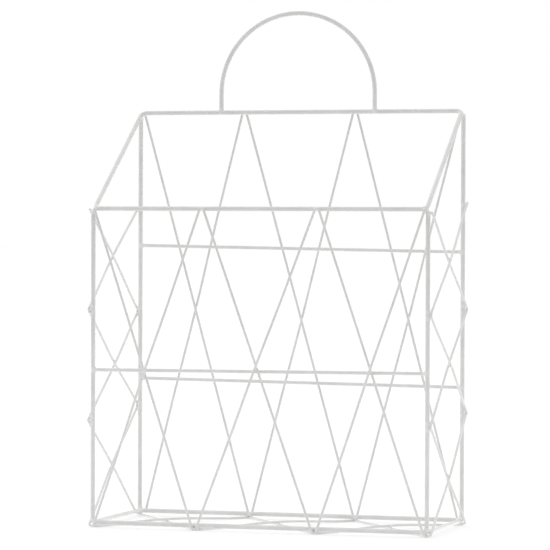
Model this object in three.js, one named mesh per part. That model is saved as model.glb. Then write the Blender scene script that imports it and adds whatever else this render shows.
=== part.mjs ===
// Magazine basket of welded wire: two hoops, four uprights, cross rails, zigzag panels and a carrying arch

import * as THREE from 'three';
import { mergeVertices } from 'three/addons/utils/BufferGeometryUtils.js';

// Frame sizes, between wire centre-lines, in millimetres
const frameWidth = 300;
const frameDepth = 124;
const frontHeight = 273;
const backHeight = 360;
const hoopBendRadius = 5.5;
const topHoopInset = 1.2;

// Wire gauges and the gap left at every weld seat
const frameWireRadius = 2;
const railWireRadius = 1.5;
const zigzagWireRadius = 1.1;
const seatGap = 0.3;

// Heights of the cross rails' left and right ends above the bottom hoop: they are welded a little askew
const backUpperRailHeights = [240.3, 236];
const backLowerRailHeights = [120.2, 116.9];
const frontRailHeights = [132.8, 134.2];

// Carrying arch on the top rod of the back, and how far it stands off the middle
const archRadius = 71.3;
const archLegLength = 16.8;
const archShift = -2.1;

// Zigzag wires: bend radius, and how far the tips of the bends pass the frame's centre-lines
const zigzagBendRadius = 2;
const frontUpperTipReach = 0.2;
const backTipReach = 0.5;
const sideTipReach = 2;
const baseTipReach = frameWireRadius - zigzagWireRadius;

// The two bends of a zigzag part its panel into three bays
const bendShares = [1 / 3, 2 / 3];

// Sideways stray of each hand-made bend from its place, the left bend first
const frontUpperStrays = [-0.1, 3.2];
const frontLowerStrays = [-6, 1.5];
const backUpperStrays = [-2.7, 0.4];
const backLowerStrays = [3.7, 1.6];

// The same for the bends of the sides, the upper bend first, downwards
const leftFrontStrays = [-3.1, 2.2];
const leftBackStrays = [1.1, -4.6];
const rightFrontStrays = [-1.5, 1.4];
const rightBackStrays = [-3.8, -3.9];

// Ends of the zigzags: inset from the corners of front and back, and reach past the bottom rods
const frontEndInset = 2;
const backUpperEndInset = 2.6;
const backLowerEndInset = 4;
const lowerEndReach = 2.4;

// Free upper end of one zigzag of each side, past the back upright and above the front rod
const leftFreeEndReach = 5;
const leftFreeEndRise = 3;
const rightFreeEndReach = 2.8;
const rightFreeEndRise = 6.6;

// Start of the other one on the front upright, below the front rod
const leftStartDrop = 0.6;
const rightStartDrop = 2.8;

// Bow of a zigzag arm where it passes over its partner, and the share of it by which the arm below
// gives way: on front and back it can't, because a cross rail lies behind it
const bowHeight = 2 * zigzagWireRadius + seatGap;
const sideGiveShare = 0.4;

// Share of an arm that is bowed: its middle half on front and back, nearly all of it elsewhere
const faceBowShare = 0.5;
const sideBowShare = 0.95;
const baseBowShare = 0.95;

// Facets round the wires and along their bends
const frameWireSides = 16;
const zigzagWireSides = 12;
const hoopBendSteps = 4;
const zigzagBendSteps = 8;
const archSteps = 32;
const bowSteps = 6;

// Places that follow from the sizes above
const halfWidth = frameWidth / 2;
const halfDepth = frameDepth / 2;
const zigzagStandOff = frameWireRadius + seatGap + zigzagWireRadius;
const bottomHoopLevel = zigzagWireRadius + zigzagStandOff;
const frontRodLevel = bottomHoopLevel + frontHeight;
const backRodLevel = bottomHoopLevel + backHeight;
const topSlope = Math.atan2(backHeight - frontHeight, frameDepth);
const topSlopeLength = Math.hypot(backHeight - frontHeight, frameDepth);

const right = new THREE.Vector3(1, 0, 0);
const back = new THREE.Vector3(0, 1, 0);
const up = new THREE.Vector3(0, 0, 1);
const left = right.clone().negate();
const front = back.clone().negate();
const down = up.clone().negate();

// Centre-line of a wire through given stations, with one flat of the wire turned to a given side
class WirePath extends THREE.Curve {
  constructor(stations, facing, closed) {
    super();
    this.stations = stations;
    this.facing = facing;
    this.closed = closed;
  }

  getPointAt(share) {
    return this.stations[Math.round(share * (this.stations.length - 1))].clone();
  }

  tangentAtStation(index) {
    const last = this.stations.length - 1;
    const before = this.closed && index === 0 ? last - 1 : Math.max(index - 1, 0);
    const after = this.closed && index === last ? 1 : Math.min(index + 1, last);
    const here = this.stations[index];
    const arriving = here.clone().sub(this.stations[before]).normalize();
    const leaving = this.stations[after].clone().sub(here).normalize();
    return arriving.add(leaving).normalize();
  }

  computeFrenetFrames() {
    const tangents = this.stations.map((station, index) => this.tangentAtStation(index));
    const normals = tangents.map((tangent) => this.facing.clone().cross(tangent).normalize());
    const binormals = tangents.map((tangent, index) => tangent.clone().cross(normals[index]));
    return { tangents, normals, binormals };
  }
}

// Even-sided section of a wire, as wide across its flats as the round wire
function wireSection(radius, sides) {
  const cornerRadius = radius / Math.cos(Math.PI / sides);
  const corners = Array.from({ length: sides }, (_, index) => {
    const angle = ((index + 0.5) / sides) * 2 * Math.PI + Math.PI / 2;
    return new THREE.Vector2(Math.cos(angle), Math.sin(angle)).multiplyScalar(cornerRadius);
  });
  return new THREE.Shape(corners);
}

function wireGeometry(stations, facing, radius, sides, closed = false) {
  const path = new WirePath(stations, facing, closed);
  const options = { steps: stations.length - 1, extrudePath: path, bevelEnabled: false };
  return new THREE.ExtrudeGeometry(wireSection(radius, sides), options);
}

// Endless wire: the two end faces that meet are taken away and the rings there become one
function hoopGeometry(stations, facing, radius, sides) {
  const wire = wireGeometry([...stations, stations[0]], facing, radius, sides, true);
  const wall = wire.groups[1];
  const places = wire.getAttribute('position').array;
  const wallPlaces = places.slice(wall.start * 3, (wall.start + wall.count) * 3);
  const hoop = new THREE.BufferGeometry();
  hoop.setAttribute('position', new THREE.BufferAttribute(wallPlaces, 3));
  const welded = mergeVertices(hoop);
  welded.computeVertexNormals();
  return welded;
}

// White powder coat on steel wire, one material for each piece
function powderCoat() {
  return new THREE.MeshStandardMaterial({ color: 0xf1f1ee, roughness: 0.42, metalness: 0 });
}

function wireMesh(name, geometry) {
  const mesh = new THREE.Mesh(geometry, powderCoat());
  mesh.name = name;
  return mesh;
}

// Rectangle with bent corners, in its own plane, anticlockwise
function bentRectangle(width, length, bendRadius, bendSteps) {
  const cornerSigns = [[1, 1], [-1, 1], [-1, -1], [1, -1]];
  return cornerSigns.flatMap(([acrossSign, alongSign], corner) => {
    const centre = new THREE.Vector2(
      acrossSign * (width / 2 - bendRadius),
      alongSign * (length / 2 - bendRadius)
    );
    return Array.from({ length: bendSteps + 1 }, (_, step) => {
      const angle = (corner + step / bendSteps) * (Math.PI / 2);
      return new THREE.Vector2(Math.cos(angle), Math.sin(angle))
        .multiplyScalar(bendRadius).add(centre);
    });
  });
}

function bottomHoop() {
  const stations = bentRectangle(frameWidth, frameDepth, hoopBendRadius, hoopBendSteps)
    .map((place) => new THREE.Vector3(place.x, place.y, 0));
  const mesh = wireMesh('bottom_rim', hoopGeometry(stations, up, frameWireRadius, frameWireSides));
  mesh.position.z = bottomHoopLevel;
  return mesh;
}

// The top hoop lies in a plane that climbs from the front rod to the back rod
function topHoop() {
  const width = frameWidth - 2 * topHoopInset;
  const stations = bentRectangle(width, topSlopeLength, hoopBendRadius, hoopBendSteps)
    .map((place) => new THREE.Vector3(place.x, place.y, 0));
  const mesh = wireMesh('top_rim', hoopGeometry(stations, up, frameWireRadius, frameWireSides));
  mesh.position.z = (frontRodLevel + backRodLevel) / 2;
  mesh.rotation.x = topSlope;
  return mesh;
}

function straightRod(name, start, end, facing, radius) {
  return wireMesh(name, wireGeometry([start, end], facing, radius, frameWireSides));
}

// The uprights stand on the bottom hoop and stop under the top hoop
function uprights() {
  const bottom = bottomHoopLevel + frameWireRadius + seatGap;
  const slopeDrop = frameWireRadius / Math.cos(topSlope);
  const backEdgeDrop = frameWireRadius * Math.tan(topSlope);
  const frontTop = frontRodLevel - slopeDrop - seatGap;
  const backTop = backRodLevel - slopeDrop - backEdgeDrop - seatGap;
  const places = [
    { name: 'back_left_upright', x: -halfWidth, y: halfDepth, top: backTop, facing: back },
    { name: 'back_right_upright', x: halfWidth, y: halfDepth, top: backTop, facing: back },
    { name: 'front_left_upright', x: -halfWidth, y: -halfDepth, top: frontTop, facing: front },
    { name: 'front_right_upright', x: halfWidth, y: -halfDepth, top: frontTop, facing: front }
  ];
  return places.map(({ name, x, y, top, facing }) => straightRod(
    name, new THREE.Vector3(x, y, bottom), new THREE.Vector3(x, y, top), facing, frameWireRadius
  ));
}

// The cross rails run between the inner sides of the uprights
function crossRail(name, y, heights, facing) {
  const reach = halfWidth - frameWireRadius - seatGap;
  const [start, end] = heights.map((height, index) => new THREE.Vector3(
    index === 0 ? -reach : reach, y, bottomHoopLevel + height
  ));
  return straightRod(name, start, end, facing, railWireRadius);
}

function crossRails() {
  return [
    crossRail('back_upper_rail', halfDepth, backUpperRailHeights, back),
    crossRail('back_lower_rail', halfDepth, backLowerRailHeights, back),
    crossRail('front_middle_rail', -halfDepth, frontRailHeights, front)
  ];
}

// Half-round carrying arch with straight legs that stand on the back rod
function carryingArch() {
  const archLevel = backRodLevel + archLegLength;
  const legBottom = backRodLevel + frameWireRadius + seatGap;
  const arch = Array.from({ length: archSteps + 1 }, (_, step) => {
    const angle = (step / archSteps) * Math.PI;
    return new THREE.Vector3(
      archRadius * Math.cos(angle), halfDepth, archLevel + archRadius * Math.sin(angle)
    );
  });
  const stations = [
    new THREE.Vector3(archRadius, halfDepth, legBottom),
    ...arch,
    new THREE.Vector3(-archRadius, halfDepth, legBottom)
  ];
  const mesh = wireMesh('carry_handle', wireGeometry(stations, back, frameWireRadius, frameWireSides));
  mesh.position.x = archShift;
  return mesh;
}

// Arms of a wire bent round pegs: each arm touches the pegs at its ends, a peg of no size is an end
function armsRoundPegs(pegs) {
  return pegs.slice(1).map((next, index) => {
    const peg = pegs[index];
    const span = next.centre.clone().sub(peg.centre);
    const heading = span.angle() - Math.asin((next.turn - peg.turn) / span.length());
    const leftHand = new THREE.Vector2(-Math.sin(heading), Math.cos(heading));
    return {
      heading,
      start: peg.centre.clone().addScaledVector(leftHand, -peg.turn),
      end: next.centre.clone().addScaledVector(leftHand, -next.turn)
    };
  });
}

// Places round a peg between the arm that arrives and the arm that leaves
function bendRoundPeg(peg, arriving, leaving) {
  const fullTurn = 2 * Math.PI;
  let swing = (leaving.heading - arriving.heading) % fullTurn;
  if (swing * peg.turn < 0) swing += Math.sign(peg.turn) * fullTurn;
  return Array.from({ length: zigzagBendSteps + 1 }, (_, step) => {
    const heading = arriving.heading + (swing * step) / zigzagBendSteps;
    const leftHand = new THREE.Vector2(-Math.sin(heading), Math.cos(heading));
    return peg.centre.clone().addScaledVector(leftHand, -peg.turn);
  });
}

// How far along an arm its partner crosses it
function crossingDistance(arm, partner) {
  const direction = new THREE.Vector2(Math.cos(arm.heading), Math.sin(arm.heading));
  const partnerDirection = new THREE.Vector2(Math.cos(partner.heading), Math.sin(partner.heading));
  const offset = partner.start.clone().sub(arm.start);
  return offset.cross(partnerDirection) / direction.cross(partnerDirection);
}

// Places along a bowed arm: the bow is highest at the crossing and runs out on both sides of it
function bowPlaces(arm, partner, height, bowShare) {
  const crossing = crossingDistance(arm, partner);
  const beyond = arm.start.distanceTo(arm.end) - crossing;
  const direction = new THREE.Vector2(Math.cos(arm.heading), Math.sin(arm.heading));
  return Array.from({ length: bowSteps + 1 }, (_, step) => {
    const share = (2 * step) / bowSteps - 1;
    const distance = crossing + bowShare * share * (share < 0 ? crossing : beyond);
    const place = arm.start.clone().addScaledVector(direction, distance);
    return { place, lift: (height * (1 + Math.cos(share * Math.PI))) / 2 };
  });
}

// A zigzag's pegs: a bend on the high side turns the wire one way, one on the low side the other
function zigzagPegs(panel, startsHigh) {
  const sideSigns = startsHigh ? [-1, 1] : [1, -1];
  const bends = sideSigns.map((sideSign, index) => {
    const tip = sideSign > 0 ? panel.highTip : panel.lowTip;
    const along = (sideSign > 0 ? panel.highBends : panel.lowBends)[index];
    return {
      centre: new THREE.Vector2(along, tip - sideSign * zigzagBendRadius),
      turn: -sideSign * zigzagBendRadius
    };
  });
  const start = startsHigh ? panel.highStart : panel.lowStart;
  const end = startsHigh ? panel.lowEnd : panel.highEnd;
  return [{ centre: start, turn: 0 }, ...bends, { centre: end, turn: 0 }];
}

function zigzagStations(panel, pegs, arms, partnerArms, overArms) {
  const flat = (place) => ({ place, lift: 0 });
  const placed = arms.flatMap((arm, index) => {
    const bow = overArms.includes(index) ? panel.bowOver : panel.bowUnder;
    return [
      ...(index === 0
        ? [flat(arm.start)]
        : bendRoundPeg(pegs[index], arms[index - 1], arm).map(flat)),
      ...(bow === 0 ? [] : bowPlaces(arm, partnerArms[index], bow, panel.bowShare)),
      ...(index === arms.length - 1 ? [flat(arm.end)] : [])
    ];
  });
  return placed.map(({ place, lift }) => panel.origin.clone()
    .addScaledVector(panel.along, place.x)
    .addScaledVector(panel.across, place.y)
    .addScaledVector(panel.outward, zigzagStandOff + lift));
}

// Two zigzags that mirror each other and cross once in every bay
function zigzagPair(panel) {
  const firstPegs = zigzagPegs(panel, true);
  const secondPegs = zigzagPegs(panel, false);
  const firstArms = armsRoundPegs(firstPegs);
  const secondArms = armsRoundPegs(secondPegs);
  const first = zigzagStations(panel, firstPegs, firstArms, secondArms, panel.firstOverArms);
  const second = zigzagStations(panel, secondPegs, secondArms, firstArms, panel.secondOverArms);
  return [[first, 'first'], [second, 'second']].map(([stations, order]) => wireMesh(
    `${panel.name}_zigzag_${order}`,
    wireGeometry(stations, panel.outward, zigzagWireRadius, zigzagWireSides)
  ));
}

// Places of the bends along the frame's width, counted from its middle
function bendsAcrossWidth(strays) {
  return bendShares.map((share, index) => share * frameWidth - halfWidth + strays[index]);
}

function facePanel(name, outward, height, tipReach, strays, endInset) {
  const upperEnd = halfWidth - endInset.upper;
  const lowerEnd = halfWidth - endInset.lower;
  return {
    name,
    outward,
    origin: new THREE.Vector3(0, 0, bottomHoopLevel).addScaledVector(outward, halfDepth),
    along: right,
    across: up,
    highTip: height + tipReach.upper,
    lowTip: -tipReach.lower,
    highBends: bendsAcrossWidth(strays.upper),
    lowBends: bendsAcrossWidth(strays.lower),
    highStart: new THREE.Vector2(-upperEnd, height),
    lowStart: new THREE.Vector2(-lowerEnd, -lowerEndReach),
    highEnd: new THREE.Vector2(upperEnd, height),
    lowEnd: new THREE.Vector2(lowerEnd, -lowerEndReach),
    bowOver: bowHeight,
    bowUnder: 0,
    bowShare: faceBowShare,
    firstOverArms: [1],
    secondOverArms: [0, 2]
  };
}

// A side's zigzags run downwards from the level of the front rod, between front and back uprights
function sidePanel(name, outward, strays, freeEnd, startDrop) {
  const bendsDown = (shifts) => bendShares.map((share, index) => share * frontHeight + shifts[index]);
  const lowerEnd = frontHeight + lowerEndReach;
  return {
    name,
    outward,
    origin: new THREE.Vector3(0, 0, frontRodLevel).addScaledVector(outward, halfWidth),
    along: down,
    across: back,
    highTip: halfDepth + sideTipReach,
    lowTip: -halfDepth - sideTipReach,
    highBends: bendsDown(strays.back),
    lowBends: bendsDown(strays.front),
    highStart: new THREE.Vector2(-freeEnd.rise, halfDepth + freeEnd.reach),
    lowStart: new THREE.Vector2(startDrop, -halfDepth),
    highEnd: new THREE.Vector2(lowerEnd, halfDepth),
    lowEnd: new THREE.Vector2(lowerEnd, -halfDepth),
    bowOver: bowHeight * (1 - sideGiveShare),
    bowUnder: -bowHeight * sideGiveShare,
    bowShare: sideBowShare,
    firstOverArms: [0, 1, 2],
    secondOverArms: []
  };
}

// The base zigzags lie under the bottom hoop and bend where the lower tips of front and back are; the
// crossing arms bow upwards, so the feet stay flat
function basePanel() {
  return {
    name: 'base',
    outward: down,
    origin: new THREE.Vector3(0, 0, bottomHoopLevel),
    along: right,
    across: back,
    highTip: halfDepth + baseTipReach,
    lowTip: -halfDepth - baseTipReach,
    highBends: bendsAcrossWidth(backLowerStrays),
    lowBends: bendsAcrossWidth(frontLowerStrays),
    highStart: new THREE.Vector2(-halfWidth, halfDepth),
    lowStart: new THREE.Vector2(-halfWidth, -halfDepth),
    highEnd: new THREE.Vector2(halfWidth, halfDepth),
    lowEnd: new THREE.Vector2(halfWidth, -halfDepth),
    bowOver: -bowHeight,
    bowUnder: 0,
    bowShare: baseBowShare,
    firstOverArms: [1],
    secondOverArms: [0, 2]
  };
}

// The lower tips of the front's zigzags stand on the ground beside the base zigzags
function zigzagPanels() {
  const frontReach = { upper: frontUpperTipReach, lower: zigzagStandOff };
  const backReach = { upper: backTipReach, lower: backTipReach };
  const frontStrays = { upper: frontUpperStrays, lower: frontLowerStrays };
  const backStrays = { upper: backUpperStrays, lower: backLowerStrays };
  const frontInset = { upper: frontEndInset, lower: frontEndInset };
  const backInset = { upper: backUpperEndInset, lower: backLowerEndInset };
  const leftStrays = { front: leftFrontStrays, back: leftBackStrays };
  const rightStrays = { front: rightFrontStrays, back: rightBackStrays };
  const leftFreeEnd = { reach: leftFreeEndReach, rise: leftFreeEndRise };
  const rightFreeEnd = { reach: rightFreeEndReach, rise: rightFreeEndRise };
  return [
    facePanel('front', front, frontHeight, frontReach, frontStrays, frontInset),
    facePanel('back', back, backHeight, backReach, backStrays, backInset),
    sidePanel('left', left, leftStrays, leftFreeEnd, leftStartDrop),
    sidePanel('right', right, rightStrays, rightFreeEnd, rightStartDrop),
    basePanel()
  ];
}

const basket = new THREE.Group();
basket.add(
  bottomHoop(),
  topHoop(),
  ...uprights(),
  ...crossRails(),
  carryingArch(),
  ...zigzagPanels().flatMap(zigzagPair)
);

export default basket;
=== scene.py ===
import bisect
import itertools
import math

import bmesh
import bpy
from mathutils import Matrix, Vector, noise
from mathutils.kdtree import KDTree


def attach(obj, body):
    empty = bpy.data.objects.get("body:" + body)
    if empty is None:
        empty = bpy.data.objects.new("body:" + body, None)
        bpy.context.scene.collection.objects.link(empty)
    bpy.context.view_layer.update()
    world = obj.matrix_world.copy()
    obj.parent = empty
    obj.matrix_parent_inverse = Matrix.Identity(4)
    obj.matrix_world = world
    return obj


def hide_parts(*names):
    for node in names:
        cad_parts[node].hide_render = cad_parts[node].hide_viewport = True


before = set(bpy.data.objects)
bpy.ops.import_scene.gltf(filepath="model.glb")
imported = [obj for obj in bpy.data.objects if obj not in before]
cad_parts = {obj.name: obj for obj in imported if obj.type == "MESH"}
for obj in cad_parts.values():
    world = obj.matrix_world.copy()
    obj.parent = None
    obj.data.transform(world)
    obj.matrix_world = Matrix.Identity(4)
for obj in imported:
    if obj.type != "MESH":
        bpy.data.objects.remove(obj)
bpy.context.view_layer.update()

# Sizes of the basket in millimetres, as in the solids
MM = 0.001
FRAME_WIDTH, FRAME_DEPTH = 300.0, 124.0
FRONT_HEIGHT, BACK_HEIGHT = 273.0, 360.0
HOOP_BEND, TOP_HOOP_INSET = 5.5, 1.2
FRAME_R, RAIL_R, ZIGZAG_R = 2.0, 1.5, 1.1
SEAT_GAP = 0.3
BACK_UPPER_RAIL, BACK_LOWER_RAIL, FRONT_RAIL = (240.3, 236.0), (120.2, 116.9), (132.8, 134.2)
ARCH_R, ARCH_LEG, ARCH_SHIFT = 71.3, 16.8, -2.1
ZIGZAG_BEND = 2.0
FRONT_UPPER_TIP, BACK_TIP, SIDE_TIP = 0.2, 0.5, 2.0
BASE_TIP = FRAME_R - ZIGZAG_R
BEND_SHARES = (1 / 3, 2 / 3)
FRONT_UPPER_STRAYS, FRONT_LOWER_STRAYS = (-0.1, 3.2), (-6.0, 1.5)
BACK_UPPER_STRAYS, BACK_LOWER_STRAYS = (-2.7, 0.4), (3.7, 1.6)
LEFT_FRONT_STRAYS, LEFT_BACK_STRAYS = (-3.1, 2.2), (1.1, -4.6)
RIGHT_FRONT_STRAYS, RIGHT_BACK_STRAYS = (-1.5, 1.4), (-3.8, -3.9)
FRONT_END_INSET, BACK_UPPER_END_INSET, BACK_LOWER_END_INSET = 2.0, 2.6, 4.0
LOWER_END_REACH = 2.4
LEFT_FREE_END, LEFT_START_DROP = (5.0, 3.0), 0.6
RIGHT_FREE_END, RIGHT_START_DROP = (2.8, 6.6), 2.8
BOW_HEIGHT, SIDE_GIVE_SHARE = 2 * ZIGZAG_R + SEAT_GAP, 0.4
FACE_BOW_SHARE, SIDE_BOW_SHARE, BASE_BOW_SHARE = 0.5, 0.95, 0.95

HALF_W, HALF_D = FRAME_WIDTH / 2, FRAME_DEPTH / 2
STAND_OFF = FRAME_R + SEAT_GAP + ZIGZAG_R
BOTTOM = ZIGZAG_R + STAND_OFF
FRONT_TOP, BACK_TOP = BOTTOM + FRONT_HEIGHT, BOTTOM + BACK_HEIGHT
SLOPE = math.atan2(BACK_HEIGHT - FRONT_HEIGHT, FRAME_DEPTH)
SLOPE_LENGTH = math.hypot(BACK_HEIGHT - FRONT_HEIGHT, FRAME_DEPTH)

# Steps round and along the wires
FRAME_SIDES, ZIGZAG_SIDES = 28, 20
HOOP_STEPS, BEND_STEPS, ARCH_STEPS, BOW_STEPS = 12, 18, 96, 24

RIGHT, BACK, UP = Vector((1, 0, 0)), Vector((0, 1, 0)), Vector((0, 0, 1))
LEFT, FRONT, DOWN = -RIGHT, -BACK, -UP

# Rings at a cut wire's end: distance from the end and radius, as shares of the wire's radius
END_RING_SHARES = ((0.0, 0.78), (0.08, 0.90), (0.22, 0.975), (0.45, 1.0))


# Mesh helpers
def new_object(name, bm, material):
    mesh = bpy.data.meshes.new(name)
    bmesh.ops.recalc_face_normals(bm, faces=bm.faces)
    bm.to_mesh(mesh)
    bm.free()
    mesh.shade_smooth()
    mesh.materials.append(material)
    obj = bpy.data.objects.new(name, mesh)
    bpy.context.scene.collection.objects.link(obj)
    return obj


def ring_frames(stations, facing, closed):
    count = len(stations)
    frames = []
    for i, here in enumerate(stations):
        before = stations[i - 1] if closed or i > 0 else None
        after = stations[(i + 1) % count] if closed or i < count - 1 else None
        tangent = Vector((0, 0, 0))
        if before is not None:
            tangent += (here - before).normalized()
        if after is not None:
            tangent += (after - here).normalized()
        tangent.normalize()
        side = facing.cross(tangent).normalized()
        frames.append((tangent, side, tangent.cross(side)))
    return frames


def add_tube(bm, stations, facing, radii, sides, closed=False):
    """A round tube through the stations, in millimetres, with a radius at each."""
    rings = []
    for here, radius, (_, side, out) in zip(stations, radii, ring_frames(stations, facing, closed)):
        ring = []
        for k in range(sides):
            angle = 2 * math.pi * k / sides
            spoke = side * math.cos(angle) + out * math.sin(angle)
            ring.append(bm.verts.new((here + spoke * radius) * MM))
        rings.append(ring)
    pairs = list(zip(rings, rings[1:]))
    if closed:
        pairs.append((rings[-1], rings[0]))
    for a, b in pairs:
        for k in range(sides):
            j = (k + 1) % sides
            bm.faces.new((a[k], a[j], b[j], b[k]))
    if not closed:
        bm.faces.new(list(reversed(rings[0])))
        bm.faces.new(rings[-1])


def with_cut_ends(stations, radius):
    """Adds the rings that round a wire's cut ends."""
    start, end = stations[0], stations[-1]
    ahead = (stations[1] - start).normalized()
    behind = (stations[-2] - end).normalized()
    head = [(start + ahead * (d * radius), r * radius) for d, r in END_RING_SHARES]
    tail = [(end + behind * (d * radius), r * radius) for d, r in reversed(END_RING_SHARES)]
    body = [(p, radius) for p in stations[1:-1]]
    places, radii = zip(*(head + body + tail))
    return list(places), list(radii)


class Line:
    """A wire's centre-line, measured along its length."""

    def __init__(self, stations, facing, radius, closed):
        self.places = [*stations, stations[0]] if closed else list(stations)
        self.facing, self.radius, self.closed = facing, radius, closed
        steps = [(after - before).length for before, after in zip(self.places, self.places[1:])]
        self.marks = [0.0, *itertools.accumulate(steps)]
        self.length = self.marks[-1]
        count = round(self.length / JOINT_STEP)
        self.samples = [self.length * k / count for k in range(count + 1)]
        self.tree = KDTree(count + 1)
        for index, mark in enumerate(self.samples):
            self.tree.insert(self.at(mark), index)
        self.tree.balance()

    def at(self, mark):
        mark = mark % self.length if self.closed else min(max(mark, 0.0), self.length)
        index = min(max(bisect.bisect_right(self.marks, mark), 1), len(self.marks) - 1)
        low, high = self.marks[index - 1], self.marks[index]
        return self.places[index - 1].lerp(self.places[index], (mark - low) / (high - low))

    def span(self, mark, half):
        """Marks on both sides of a mark, cut off at the wire's ends."""
        low, high = mark - half, mark + half
        if not self.closed:
            low, high = max(low, 0.0), min(high, self.length)
        return [low + (high - low) * k / SLEEVE_STEPS for k in range(SLEEVE_STEPS + 1)]

    def nearest(self, place):
        """The mark of the centre-line's place that is nearest, and how far that is."""
        _, index, distance = self.tree.find(place)
        return self.samples[index], distance


# Centre-lines by node name
LINES = {}
# How far apart they are sampled, and the steps along a weld's swelling
JOINT_STEP, SLEEVE_STEPS = 0.5, 10


def wire(name, stations, facing, radius, sides, closed=False):
    LINES[name] = Line(stations, facing, radius, closed)
    bm = bmesh.new()
    radii = [radius] * len(stations)
    if not closed:
        stations, radii = with_cut_ends(stations, radius)
    add_tube(bm, stations, facing, radii, sides, closed)
    obj = new_object(name + "_wire", bm, COAT)
    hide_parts(name)
    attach(obj, "root")


# White powder coat: orange peel, slow unevenness, thin spots, and whiter at the welds, a painted
# highlight where the raised weld beads catch the light
COAT_IOR = 1.5
# Tones from the darkest to the lightest, and where the coat is thin
WIRE_TONES = ((0.800, 0.800, 0.792, 1), (0.880, 0.880, 0.874, 1))
# The welds' lighter tones are a painted highlight where the raised weld beads catch the light
WELD_HIGHLIGHT_TONES = ((0.900, 0.900, 0.894, 1), (0.950, 0.950, 0.945, 1))
THIN_TONE = (0.66, 0.66, 0.66, 1)
BLACK, WHITE = (0, 0, 0, 1), (1, 1, 1, 1)
# Roughness as a grey, from the smoothest to the roughest
SHEEN_TONES = ((0.14, 0.14, 0.14, 1), (0.22, 0.22, 0.22, 1))
# Noises: scale, detail, roughness
PATCH_NOISE, THIN_NOISE, SHEEN_NOISE = (55.0, 3.0, 0.55), (620.0, 2.0, 0.5), (240.0, 2.0, 0.5)
PEEL_NOISE, SAG_NOISE = (1500.0, 2.0, 0.5), (170.0, 1.0, 0.4)
# The part of a noise over which its ramp goes from one end to the other
PATCH_SPAN, THIN_SPAN, SHEEN_SPAN = (0.30, 0.72), (0.70, 0.78), (0.25, 0.75)
# Bumps: strength, and depth in metres
PEEL_BUMP, SAG_BUMP = (0.28, 0.00006), (0.35, 0.0004)
# The attribute of the welds' meshes that says how much of the painted highlight they take
PAINTED_HIGHLIGHT = "painted_highlight"


def powder_coat():
    material = bpy.data.materials.new("white_powder_coat")
    material.use_nodes = True
    nodes, links = material.node_tree.nodes, material.node_tree.links
    shader = nodes["Principled BSDF"]
    shader.inputs["IOR"].default_value = COAT_IOR
    place = nodes.new("ShaderNodeTexCoord")

    def noise_node(scale, detail, roughness):
        node = nodes.new("ShaderNodeTexNoise")
        node.inputs["Scale"].default_value = scale
        node.inputs["Detail"].default_value = detail
        node.inputs["Roughness"].default_value = roughness
        links.new(place.outputs["Object"], node.inputs["Vector"])
        return node.outputs["Fac"]

    def ramp(source, span, colours):
        node = nodes.new("ShaderNodeValToRGB")
        for element, position, colour in zip(node.color_ramp.elements, span, colours):
            element.position = position
            element.color = colour
        links.new(source, node.inputs["Fac"])
        return node.outputs["Color"]

    def mix(factor, first, second):
        node = nodes.new("ShaderNodeMix")
        node.data_type = "RGBA"
        links.new(factor, node.inputs["Factor"])
        links.new(first, node.inputs["A"])
        if isinstance(second, tuple):
            node.inputs["B"].default_value = second
        else:
            links.new(second, node.inputs["B"])
        return node.outputs["Result"]

    def bump(height, strength, depth):
        node = nodes.new("ShaderNodeBump")
        node.inputs["Strength"].default_value = strength
        node.inputs["Distance"].default_value = depth
        links.new(height, node.inputs["Height"])
        return node

    patches = noise_node(*PATCH_NOISE)
    # Painted highlight: the welds take the lighter weld tones
    painted_highlight = nodes.new("ShaderNodeAttribute")
    painted_highlight.attribute_name = PAINTED_HIGHLIGHT
    on_wire = ramp(patches, PATCH_SPAN, WIRE_TONES)
    on_weld_highlight = ramp(patches, PATCH_SPAN, WELD_HIGHLIGHT_TONES)
    tone = mix(painted_highlight.outputs["Fac"], on_wire, on_weld_highlight)
    thin = ramp(noise_node(*THIN_NOISE), THIN_SPAN, (BLACK, WHITE))
    links.new(mix(thin, tone, THIN_TONE), shader.inputs["Base Color"])
    sheen = ramp(noise_node(*SHEEN_NOISE), SHEEN_SPAN, SHEEN_TONES)
    links.new(sheen, shader.inputs["Roughness"])
    peel = bump(noise_node(*PEEL_NOISE), *PEEL_BUMP)
    sag = bump(noise_node(*SAG_NOISE), *SAG_BUMP)
    links.new(peel.outputs["Normal"], sag.inputs["Normal"])
    links.new(sag.outputs["Normal"], shader.inputs["Normal"])
    return material


COAT = powder_coat()


# Frame wires
def bent_rectangle(width, length):
    places = []
    for corner, (sx, sy) in enumerate(((1, 1), (-1, 1), (-1, -1), (1, -1))):
        cx, cy = sx * (width / 2 - HOOP_BEND), sy * (length / 2 - HOOP_BEND)
        for step in range(HOOP_STEPS + 1):
            angle = (corner + step / HOOP_STEPS) * math.pi / 2
            places.append((cx + HOOP_BEND * math.cos(angle), cy + HOOP_BEND * math.sin(angle)))
    return places


def bottom_hoop():
    stations = [Vector((x, y, BOTTOM)) for x, y in bent_rectangle(FRAME_WIDTH, FRAME_DEPTH)]
    wire("bottom_rim", stations, UP, FRAME_R, FRAME_SIDES, closed=True)


def top_hoop():
    along = Vector((0, math.cos(SLOPE), math.sin(SLOPE)))
    middle = Vector((0, 0, (FRONT_TOP + BACK_TOP) / 2))
    width = FRAME_WIDTH - 2 * TOP_HOOP_INSET
    stations = [middle + RIGHT * x + along * y for x, y in bent_rectangle(width, SLOPE_LENGTH)]
    wire("top_rim", stations, RIGHT.cross(along), FRAME_R, FRAME_SIDES, closed=True)


def upright_ends():
    bottom = BOTTOM + FRAME_R + SEAT_GAP
    slope_drop = FRAME_R / math.cos(SLOPE)
    front_top = FRONT_TOP - slope_drop - SEAT_GAP
    back_top = BACK_TOP - slope_drop - FRAME_R * math.tan(SLOPE) - SEAT_GAP
    return bottom, front_top, back_top


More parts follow.
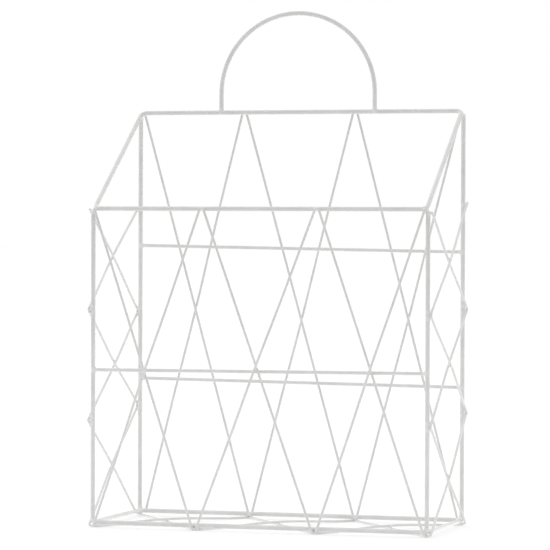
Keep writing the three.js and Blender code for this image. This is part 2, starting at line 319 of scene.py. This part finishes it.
def uprights():
    bottom, front_top, back_top = upright_ends()
    faces = (("back", BACK, HALF_D, back_top), ("front", FRONT, -HALF_D, front_top))
    for word, facing, y, top in faces:
        for side, x in (("left", -HALF_W), ("right", HALF_W)):
            ends = [Vector((x, y, bottom)), Vector((x, y, top))]
            wire(f"{word}_{side}_upright", ends, facing, FRAME_R, FRAME_SIDES)


CROSS_RAILS = (
    ("back_upper_rail", HALF_D, BACK_UPPER_RAIL, BACK),
    ("back_lower_rail", HALF_D, BACK_LOWER_RAIL, BACK),
    ("front_middle_rail", -HALF_D, FRONT_RAIL, FRONT),
)
RAIL_REACH = HALF_W - FRAME_R - SEAT_GAP


def rail_ends(y, heights):
    ends = zip((-RAIL_REACH, RAIL_REACH), heights)
    return [Vector((x, y, BOTTOM + height)) for x, height in ends]


def cross_rails():
    for name, y, heights, facing in CROSS_RAILS:
        wire(name, rail_ends(y, heights), facing, RAIL_R, FRAME_SIDES)


def carry_arch():
    level, foot = BACK_TOP + ARCH_LEG, BACK_TOP + FRAME_R + SEAT_GAP
    arch = []
    for step in range(ARCH_STEPS + 1):
        angle = math.pi * step / ARCH_STEPS
        x, z = ARCH_SHIFT + ARCH_R * math.cos(angle), level + ARCH_R * math.sin(angle)
        arch.append(Vector((x, HALF_D, z)))
    feet = [Vector((ARCH_SHIFT + side * ARCH_R, HALF_D, foot)) for side in (1, -1)]
    stations = [feet[0], *arch, feet[1]]
    wire("carry_handle", stations, BACK, FRAME_R, FRAME_SIDES)


# Zigzag wires, bent round pegs
class Peg:
    """A place that a wire runs through, or bends round at a distance: to the left if above 0."""

    def __init__(self, x, y, turn=0.0):
        self.x, self.y, self.turn = x, y, turn

    def touch(self, heading):
        return self.x + math.sin(heading) * self.turn, self.y - math.cos(heading) * self.turn


class Arm:
    """The straight stretch of a wire from one peg to the next."""

    def __init__(self, peg, after):
        dx, dy = after.x - peg.x, after.y - peg.y
        self.heading = math.atan2(dy, dx) - math.asin((after.turn - peg.turn) / math.hypot(dx, dy))
        self.start, self.end = peg.touch(self.heading), after.touch(self.heading)

    def at(self, distance):
        x, y = self.start
        return x + math.cos(self.heading) * distance, y + math.sin(self.heading) * distance

    def length(self):
        return math.hypot(self.end[0] - self.start[0], self.end[1] - self.start[1])

    def crossing(self, partner):
        """How far along this arm its partner crosses it."""
        ax, ay = math.cos(self.heading), math.sin(self.heading)
        bx, by = math.cos(partner.heading), math.sin(partner.heading)
        dx, dy = partner.start[0] - self.start[0], partner.start[1] - self.start[1]
        return (dx * by - dy * bx) / (ax * by - ay * bx)


def round_peg(peg, arriving, leaving):
    swing = math.fmod(leaving.heading - arriving.heading, 2 * math.pi)
    if swing * peg.turn < 0:
        swing += math.copysign(2 * math.pi, peg.turn)
    return [peg.touch(arriving.heading + swing * k / BEND_STEPS) for k in range(BEND_STEPS + 1)]


def bow(arm, partner, height, bow_share):
    """Places along an arm that is bowed most at the crossing, with their heights."""
    crossing = arm.crossing(partner)
    beyond = arm.length() - crossing
    places = []
    for step in range(BOW_STEPS + 1):
        share = 2 * step / BOW_STEPS - 1
        distance = crossing + bow_share * share * (crossing if share < 0 else beyond)
        places.append((*arm.at(distance), height * (1 + math.cos(share * math.pi)) / 2))
    return places


class Panel:
    """A flat field of two zigzags: where it lies, and where its wires start, bend, end and bow."""

    def __init__(self, name, outward, origin, along, across,
                 tips, bends, starts, ends, over, bows, bow_share):
        self.name, self.outward = name, outward
        self.origin, self.along, self.across = origin, along, across
        self.over, self.bows, self.bow_share = over, bows, bow_share
        self.pegs = [self.zigzag_pegs(high_start, tips, bends, starts, ends)
                     for high_start in (True, False)]
        self.arms = [[Arm(a, b) for a, b in zip(pegs, pegs[1:])] for pegs in self.pegs]

    @staticmethod
    def zigzag_pegs(high_start, tips, bends, starts, ends):
        pegs = []
        for index, sign in enumerate((-1, 1) if high_start else (1, -1)):
            row, turn = 0 if sign > 0 else 1, -sign * ZIGZAG_BEND
            pegs.append(Peg(bends[row][index], tips[row] + turn, turn))
        start = starts[0 if high_start else 1]
        end = ends[1 if high_start else 0]
        return [Peg(*start), *pegs, Peg(*end)]

    def place(self, x, y, lift=0.0):
        return self.origin + self.along * x + self.across * y + self.outward * (STAND_OFF + lift)

    def stations(self, which):
        pegs, arms, partner = self.pegs[which], self.arms[which], self.arms[1 - which]
        flat = []
        for index, arm in enumerate(arms):
            flat += [arm.start] if index == 0 else round_peg(pegs[index], arms[index - 1], arm)
            height = self.bows[0 if index in self.over[which] else 1]
            if height:
                flat += bow(arm, partner[index], height, self.bow_share)
        flat.append(arms[-1].end)
        return [self.place(*point) for point in flat]

    def make(self):
        for which, order in enumerate(("first", "second")):
            name = f"{self.name}_zigzag_{order}"
            wire(name, self.stations(which), self.outward, ZIGZAG_R, ZIGZAG_SIDES)


# Which arms of a panel's first and second wire take the first of its two bow heights
BY_TURNS, ALL_OF_FIRST = ((1,), (0, 2)), ((0, 1, 2), ())


def across_width(strays):
    return [share * FRAME_WIDTH - HALF_W + stray for share, stray in zip(BEND_SHARES, strays)]


def face_panel(name, outward, height, tips, upper, lower, insets):
    origin = UP * BOTTOM + outward * HALF_D
    bends = (across_width(upper), across_width(lower))
    upper_end, lower_end = HALF_W - insets[0], HALF_W - insets[1]
    starts = ((-upper_end, height), (-lower_end, -LOWER_END_REACH))
    ends = ((upper_end, height), (lower_end, -LOWER_END_REACH))
    reaches = (height + tips[0], -tips[1])
    return Panel(name, outward, origin, RIGHT, UP, reaches, bends, starts, ends,
                 BY_TURNS, (BOW_HEIGHT, 0.0), FACE_BOW_SHARE)


def side_panel(name, outward, back_strays, front_strays, free_end, start_drop):
    origin = UP * FRONT_TOP + outward * HALF_W
    bends = [[share * FRONT_HEIGHT + stray for share, stray in zip(BEND_SHARES, strays)]
             for strays in (back_strays, front_strays)]
    starts = ((-free_end[1], HALF_D + free_end[0]), (start_drop, -HALF_D))
    lower_end = FRONT_HEIGHT + LOWER_END_REACH
    ends = ((lower_end, HALF_D), (lower_end, -HALF_D))
    reach = HALF_D + SIDE_TIP
    bows = (BOW_HEIGHT * (1 - SIDE_GIVE_SHARE), -BOW_HEIGHT * SIDE_GIVE_SHARE)
    return Panel(name, outward, origin, DOWN, BACK, (reach, -reach), bends, starts, ends,
                 ALL_OF_FIRST, bows, SIDE_BOW_SHARE)


def base_panel():
    bends = (across_width(BACK_LOWER_STRAYS), across_width(FRONT_LOWER_STRAYS))
    starts = ((-HALF_W, HALF_D), (-HALF_W, -HALF_D))
    ends = ((HALF_W, HALF_D), (HALF_W, -HALF_D))
    reach = HALF_D + BASE_TIP
    return Panel("base", DOWN, UP * BOTTOM, RIGHT, BACK, (reach, -reach), bends, starts, ends,
                 BY_TURNS, (-BOW_HEIGHT, 0.0), BASE_BOW_SHARE)


PANELS = (
    face_panel("front", FRONT, FRONT_HEIGHT, (FRONT_UPPER_TIP, STAND_OFF),
               FRONT_UPPER_STRAYS, FRONT_LOWER_STRAYS, (FRONT_END_INSET, FRONT_END_INSET)),
    face_panel("back", BACK, BACK_HEIGHT, (BACK_TIP, BACK_TIP),
               BACK_UPPER_STRAYS, BACK_LOWER_STRAYS, (BACK_UPPER_END_INSET, BACK_LOWER_END_INSET)),
    side_panel("left", LEFT, LEFT_BACK_STRAYS, LEFT_FRONT_STRAYS,
               LEFT_FREE_END, LEFT_START_DROP),
    side_panel("right", RIGHT, RIGHT_BACK_STRAYS, RIGHT_FRONT_STRAYS,
               RIGHT_FREE_END, RIGHT_START_DROP),
    base_panel(),
)

# Welds: where two wires meet, both swell towards each other and weld metal fills the gap
# The widest gaps that are welded: where wires cross, between frame wires, and at a wire's free end
JOINT_GAP, FRAME_GAP, END_GAP = 0.55, 1.2, 2.6
# A free end is at least this far from the wire's other welds
END_CLEAR = 4.0
# A swelling's reach along its wire: a share of the wire's radius, and millimetres on top
SLEEVE_SHARE, SLEEVE_EXTRA = 1.5, 1.0
# How much wider it gets, how far its ends lie under the wire's skin, and how uneven it is
FRAME_SWELL, ZIGZAG_SWELL = 0.34, 0.16
SLEEVE_SIDES, SUNK = 16, 0.03
LUMP, LUMP_SCALE = 0.12, 0.9
# The weld metal between two wires, as a share of the thinner wire's radius
PLUG_SHARE = 0.9
# Where it runs steeper than this, its rings are laid out from the back instead of from above
STEEP = 0.9
# Balls that close a frame wire's end: how far on the way to the other wire, and share of its radius
DOME_SHARES, DOME_DETAIL = ((0.0, 1.04), (0.3, 1.0), (0.6, 0.95)), 2
VOXEL, SMOOTHING, SMOOTHING_ROUNDS = 0.3, 0.5, 4
# The painted highlight on the welds fades out between these shares of a swelling's reach
HIGHLIGHT_FADE_FROM, HIGHLIGHT_FADE_TO = 0.45, 0.95


def joints(line, partner):
    """Marks on both wires where they come together."""
    gap = FRAME_GAP if line.radius == partner.radius == FRAME_R else JOINT_GAP
    reach = line.radius + partner.radius + gap
    found, run = [], []
    for mark in line.samples:
        partner_mark, distance = partner.nearest(line.at(mark))
        if distance < reach:
            run.append((distance, mark, partner_mark))
        if run and (distance >= reach or mark == line.samples[-1]):
            found.append(min(run)[1:])
            run = []
    return found


def end_joints(name, marks):
    """Joints for the ends of a wire that nothing else comes close to."""
    line = LINES[name]
    for end in (0.0, line.length):
        if not line.closed and all(abs(end - mark) > END_CLEAR for mark in marks):
            others = []
            for partner, other in LINES.items():
                partner_mark, distance = other.nearest(line.at(end))
                others.append((distance - line.radius - other.radius, partner, partner_mark))
            gap, partner, partner_mark = min(row for row in others if row[1] != name)
            if gap < END_GAP:
                yield name, end, partner, partner_mark


def all_joints():
    found = []
    names = sorted(LINES, key=lambda name: LINES[name].closed)
    for name, partner in itertools.combinations(names, 2):
        for mark, partner_mark in joints(LINES[name], LINES[partner]):
            found.append((name, mark, partner, partner_mark))
    for name in names:
        marks = [joint[1] for joint in found if joint[0] == name]
        marks += [joint[3] for joint in found if joint[2] == name]
        found += end_joints(name, marks)
    return found


def sleeve_half(line):
    return SLEEVE_SHARE * line.radius + SLEEVE_EXTRA


def sleeve(bm, line, mark, towards, swell):
    """A wire's swelling at a weld, pushed towards its partner so that its outer side stays."""
    half = sleeve_half(line)
    stations, radii = [], []
    for here in line.span(mark, half):
        bump = (1 + math.cos(math.pi * (here - mark) / half)) / 2
        place = line.at(here)
        uneven = 1 + LUMP * noise.noise(place * LUMP_SCALE)
        stations.append(place + towards * (swell * bump))
        radii.append(line.radius + swell * bump * uneven - SUNK)
    add_tube(bm, stations, line.facing, radii, SLEEVE_SIDES)


def weld(bm, line, mark, partner, partner_mark, swell, domed):
    here, there = line.at(mark), partner.at(partner_mark)
    towards = (there - here).normalized()
    sleeve(bm, line, mark, towards, swell)
    sleeve(bm, partner, partner_mark, -towards, swell)
    radius = min(line.radius, partner.radius) * PLUG_SHARE
    facing = UP if abs(towards.z) < STEEP else BACK
    add_tube(bm, [here, there], facing, [radius, radius], SLEEVE_SIDES)
    if domed and not line.closed and min(mark, line.length - mark) < line.radius:
        end = 0.0 if mark < line.radius else line.length
        for share, size in DOME_SHARES:
            place = Matrix.Translation(line.at(end).lerp(there, share) * MM)
            bmesh.ops.create_icosphere(bm, subdivisions=DOME_DETAIL,
                                       radius=line.radius * size * MM, matrix=place)


def mark_painted_highlight(mesh, spots):
    """Stores how much painted highlight each vertex takes, from 1 at a weld to 0 before the ends of
    its swellings.
    """
    tree = KDTree(len(spots))
    for index, (place, _) in enumerate(spots):
        tree.insert(place, index)
    tree.balance()
    values = []
    for vertex in mesh.vertices:
        _, index, distance = tree.find(vertex.co / MM)
        share = (distance / spots[index][1] - HIGHLIGHT_FADE_FROM) / (HIGHLIGHT_FADE_TO - HIGHLIGHT_FADE_FROM)
        share = min(max(share, 0.0), 1.0)
        values.append(1 - share * share * (3 - 2 * share))
    mesh.attributes.new(PAINTED_HIGHLIGHT, "FLOAT", "POINT").data.foreach_set("value", values)


def joined_mesh(name, bm, spots):
    """Joins and smooths overlapping tubes into one skin that stays above the floor."""
    obj = new_object(name, bm, COAT)
    remesh = obj.modifiers.new("join", "REMESH")
    remesh.mode = "VOXEL"
    remesh.voxel_size = VOXEL * MM
    smooth = obj.modifiers.new("smooth", "SMOOTH")
    smooth.factor = SMOOTHING
    smooth.iterations = SMOOTHING_ROUNDS
    graph = bpy.context.evaluated_depsgraph_get()
    joined = bpy.data.meshes.new_from_object(obj.evaluated_get(graph))
    obj.modifiers.clear()
    for vertex in joined.vertices:
        vertex.co.z = max(vertex.co.z, 0.0)
    obj.data = joined
    mark_painted_highlight(joined, spots)
    joined.shade_smooth()
    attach(obj, "root")


def all_welds():
    groups = {panel.name: (bmesh.new(), []) for panel in PANELS}
    groups["frame"] = (bmesh.new(), [])
    for name, mark, partner, partner_mark in all_joints():
        owners = [key for key in groups
                  if f"{key}_zigzag" in name or f"{key}_zigzag" in partner]
        bm, spots = groups[owners[0] if owners else "frame"]
        swell = ZIGZAG_SWELL if owners else FRAME_SWELL
        weld(bm, LINES[name], mark, LINES[partner], partner_mark, swell, not owners)
        for line, here in ((LINES[name], mark), (LINES[partner], partner_mark)):
            spots.append((line.at(here), math.hypot(sleeve_half(line), line.radius)))
    for group, (bm, spots) in groups.items():
        joined_mesh(group + "_welds", bm, spots)


# Stage: a white floor that keeps the shadow, white ground behind, soft light
def math_node(nodes, links, operation, *values):
    node = nodes.new("ShaderNodeMath")
    node.operation = operation
    for socket, value in zip(node.inputs, values):
        if isinstance(value, float):
            socket.default_value = value
        else:
            links.new(value, socket)
    return node.outputs[0]


def vector_node(nodes, links, operation, first, second=None):
    node = nodes.new("ShaderNodeVectorMath")
    node.operation = operation
    links.new(first, node.inputs[0])
    if second:
        node.inputs[1].default_value = second
    return node


def total(nodes, links, values):
    result = values[0]
    for value in values[1:]:
        result = math_node(nodes, links, "ADD", result, value)
    return result


def map_range(nodes, links, source, spans):
    """Maps the first two values to the last two, evenly between them and clamped outside."""
    node = nodes.new("ShaderNodeMapRange")
    for name, value in zip(("From Min", "From Max", "To Min", "To Max"), spans):
        node.inputs[name].default_value = value
    links.new(source, node.inputs["Value"])
    return node.outputs["Result"]


# Rays that show the stage itself: straight on, in a reflection or through something
MIRROR_RAYS = ("Is Glossy Ray", "Is Transmission Ray")
SEEN_RAYS = ("Is Camera Ray", *MIRROR_RAYS)


def any_ray(nodes, links, path, kinds):
    """1 for rays of any of these kinds, 0 for the rest."""
    result = path.outputs[kinds[0]]
    for kind in kinds[1:]:
        result = math_node(nodes, links, "MAXIMUM", result, path.outputs[kind])
    return result


# The floor shows white. As a light on the object it is darker, and it glows a little round the
# footprint: each step is a distance from the footprint in metres and the glow there
FLOOR_REACH, FLOOR_CELLS = 30.0, 8
FLOOR_TONE_SEEN, FLOOR_TONE = 0.86, 0.5
FLOOR_GLOW_SEEN = 0.22
FOOTPRINT = (HALF_W * MM, HALF_D * MM, 0.0)
GLOW_STEPS = ((0.0, 0.37), (0.03, 0.37), (0.12, 0.6), (0.35, 0.28), (0.7, 0.33), (1.4, 0.0))


def footprint_distance(nodes, links):
    place = nodes.new("ShaderNodeTexCoord")
    folded = vector_node(nodes, links, "ABSOLUTE", place.outputs["Object"])
    past = vector_node(nodes, links, "SUBTRACT", folded.outputs[0], FOOTPRINT)
    outside = vector_node(nodes, links, "MAXIMUM", past.outputs[0], (0, 0, 0))
    return vector_node(nodes, links, "LENGTH", outside.outputs[0]).outputs["Value"]


def floor():
    bm = bmesh.new()
    bmesh.ops.create_grid(bm, x_segments=FLOOR_CELLS, y_segments=FLOOR_CELLS, size=FLOOR_REACH)
    material = bpy.data.materials.new("pale_floor")
    material.use_nodes = True
    nodes, links = material.node_tree.nodes, material.node_tree.links
    nodes.clear()
    path = nodes.new("ShaderNodeLightPath")
    to_camera = path.outputs["Is Camera Ray"]
    mirrored = any_ray(nodes, links, path, MIRROR_RAYS)
    unseen = math_node(nodes, links, "SUBTRACT", 1.0, any_ray(nodes, links, path, SEEN_RAYS))
    matt = nodes.new("ShaderNodeBsdfDiffuse")
    tone = map_range(nodes, links, to_camera, (0.0, 1.0, FLOOR_TONE, FLOOR_TONE_SEEN))
    links.new(tone, matt.inputs["Color"])
    distance = footprint_distance(nodes, links)
    rises = [map_range(nodes, links, distance, (near, far, 0.0, far_glow - near_glow))
             for (near, near_glow), (far, far_glow) in zip(GLOW_STEPS, GLOW_STEPS[1:])]
    round_object = math_node(nodes, links, "ADD", total(nodes, links, rises), GLOW_STEPS[0][1])
    strength = total(nodes, links, [
        math_node(nodes, links, "MULTIPLY", round_object, unseen),
        math_node(nodes, links, "MULTIPLY", to_camera, FLOOR_GLOW_SEEN),
        mirrored,
    ])
    glow = nodes.new("ShaderNodeEmission")
    links.new(strength, glow.inputs["Strength"])
    both = nodes.new("ShaderNodeAddShader")
    links.new(matt.outputs[0], both.inputs[0])
    links.new(glow.outputs[0], both.inputs[1])
    out = nodes.new("ShaderNodeOutputMaterial")
    links.new(both.outputs[0], out.inputs["Surface"])
    obj = new_object("floor", bm, material)


# Soft light from left, right and above, which grows along one axis of the direction it comes from:
# the axis, where the light starts, where it is full, and how strong it is there
SOFT_LIGHTS = (("X", -0.2, -1.0, 1.12), ("X", 0.2, 1.0, 0.25), ("Z", 0.3, 1.0, 1.0))
DIM_LIGHT = 0.14
# The ground behind shows white
GROUND_SEEN = 1.0
# A soft light behind on the right lightens the wires' rims: its direction, how fast it fades to the
# sides, and its strength
RIM_FROM, RIM_FALL, RIM_LIGHT = (0.8, 0.6, 0.0), 8.0, 2.4


def background(nodes):
    node = nodes.new("ShaderNodeBackground")
    node.inputs["Color"].default_value = WHITE
    return node


def ground_light():
    world = bpy.data.worlds.new("soft_white")
    bpy.context.scene.world = world
    world.use_nodes = True
    nodes, links = world.node_tree.nodes, world.node_tree.links
    nodes.clear()
    direction = nodes.new("ShaderNodeTexCoord").outputs["Generated"]
    parts = nodes.new("ShaderNodeSeparateXYZ")
    links.new(direction, parts.inputs[0])
    sides = [map_range(nodes, links, parts.outputs[part], (start, full, 0.0, strength))
             for part, start, full, strength in SOFT_LIGHTS]
    towards_rim = vector_node(nodes, links, "DOT_PRODUCT", direction, RIM_FROM).outputs["Value"]
    ahead = math_node(nodes, links, "MAXIMUM", towards_rim, 0.0)
    faded = math_node(nodes, links, "POWER", ahead, RIM_FALL)
    rim = math_node(nodes, links, "MULTIPLY", faded, RIM_LIGHT)
    strength = math_node(nodes, links, "ADD", total(nodes, links, [*sides, rim]), DIM_LIGHT)
    light, ground = background(nodes), background(nodes)
    links.new(strength, light.inputs["Strength"])
    ground.inputs["Strength"].default_value = GROUND_SEEN
    path = nodes.new("ShaderNodeLightPath")
    mix = nodes.new("ShaderNodeMixShader")
    links.new(any_ray(nodes, links, path, SEEN_RAYS), mix.inputs[0])
    links.new(light.outputs[0], mix.inputs[1])
    links.new(ground.outputs[0], mix.inputs[2])
    out = nodes.new("ShaderNodeOutputWorld")
    links.new(mix.outputs[0], out.inputs["Surface"])


SOFTBOX_PLACE, SOFTBOX_TARGET = Vector((1.9, -0.9, 0.5)), Vector((0, 0, 0.2))
SOFTBOX_SIZE, SOFTBOX_WATTS = (1.4, 1.6), 0.5


def softbox():
    light = bpy.data.lights.new("right_softbox", "AREA")
    light.shape = "RECTANGLE"
    light.size, light.size_y = SOFTBOX_SIZE
    light.energy = SOFTBOX_WATTS
    obj = bpy.data.objects.new("right_softbox", light)
    obj.location = SOFTBOX_PLACE
    obj.rotation_euler = (SOFTBOX_PLACE - SOFTBOX_TARGET).to_track_quat("Z", "Y").to_euler()
    bpy.context.scene.collection.objects.link(obj)


# Camera: long lens, a little above the middle, from the front's right
CAMERA_YAW, CAMERA_PITCH, CAMERA_ROLL = math.radians(16.96), math.radians(0.88), math.radians(0.2)
CAMERA_DISTANCE, CAMERA_LENS, SENSOR, FAR_CLIP = 2.8696, 214.7, 36.0, 100.0
CAMERA_TARGET = Vector((-3.7, 0.0, 215.5 + BOTTOM)) * MM


def camera():
    data = bpy.data.cameras.new("camera")
    data.lens, data.sensor_width = CAMERA_LENS, SENSOR
    data.clip_end = FAR_CLIP
    obj = bpy.data.objects.new("camera", data)
    bpy.context.scene.collection.objects.link(obj)
    sa, ca = math.sin(CAMERA_YAW), math.cos(CAMERA_YAW)
    se, ce = math.sin(CAMERA_PITCH), math.cos(CAMERA_PITCH)
    back = Vector((sa * ce, -ca * ce, se))
    right = Vector((ca, sa, 0))
    up = back.cross(right)
    sr, cr = math.sin(CAMERA_ROLL), math.cos(CAMERA_ROLL)
    right, up = right * cr + up * sr, up * cr - right * sr
    place = CAMERA_TARGET + back * CAMERA_DISTANCE
    rows = [(right[i], up[i], back[i], place[i]) for i in range(3)]
    obj.matrix_world = Matrix((*rows, (0, 0, 0, 1)))
    bpy.context.scene.camera = obj


camera()
bottom_hoop()
top_hoop()
uprights()
cross_rails()
carry_arch()
for field in PANELS:
    field.make()
all_welds()
floor()
ground_light()
softbox()
bpy.context.scene.view_settings.view_transform = "Standard"
